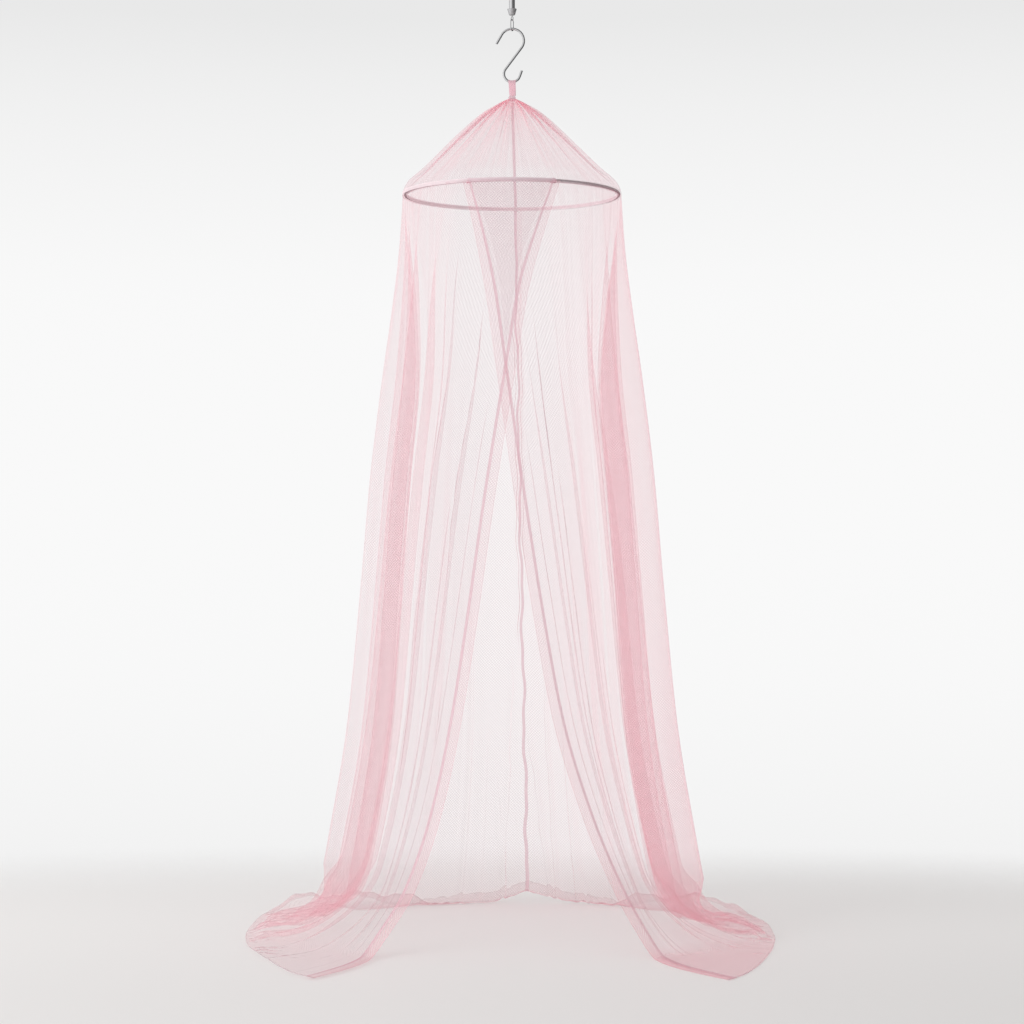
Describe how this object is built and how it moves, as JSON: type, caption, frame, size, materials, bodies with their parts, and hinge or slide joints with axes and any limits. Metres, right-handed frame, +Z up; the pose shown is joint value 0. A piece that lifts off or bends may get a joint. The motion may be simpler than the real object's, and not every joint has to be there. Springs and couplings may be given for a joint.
{
  "type": "mosquito net canopy with hoop and hook",
  "caption": "Sheer net canopy gathered over a round hoop, open at the front, its hem pooling on the floor, hung by a loop from an S-hook, a chain link and a ceiling rod.",
  "frame": {"origin": "middle of the flat top end of the ceiling rod", "axes": "+Z up along the rod; the net's open front faces -Y; +X is to the right of someone who looks at the open front"},
  "size_m": [1.502, 1.1457, 2.7],
  "materials": {
    "net": "sheer polyester net, pale pink",
    "tape": "narrow woven binding, pink",
    "steel": "bright plated steel"
  },
  "bodies": {
    "root": {"ceiling_rod": "steel", "rod_socket": "steel", "socket_eye": "steel", "chain_link": "steel", "s_hook": "steel", "hanging_loop": "tape", "crown_gather": "tape", "hoop": "steel", "crown_net": "net", "crown_seam_tape": "tape", "skirt_left": "net", "front_tape_left": "tape", "skirt_right": "net", "front_tape_right": "tape", "back_seam_tape": "tape"}
  },
  "joints": []
}
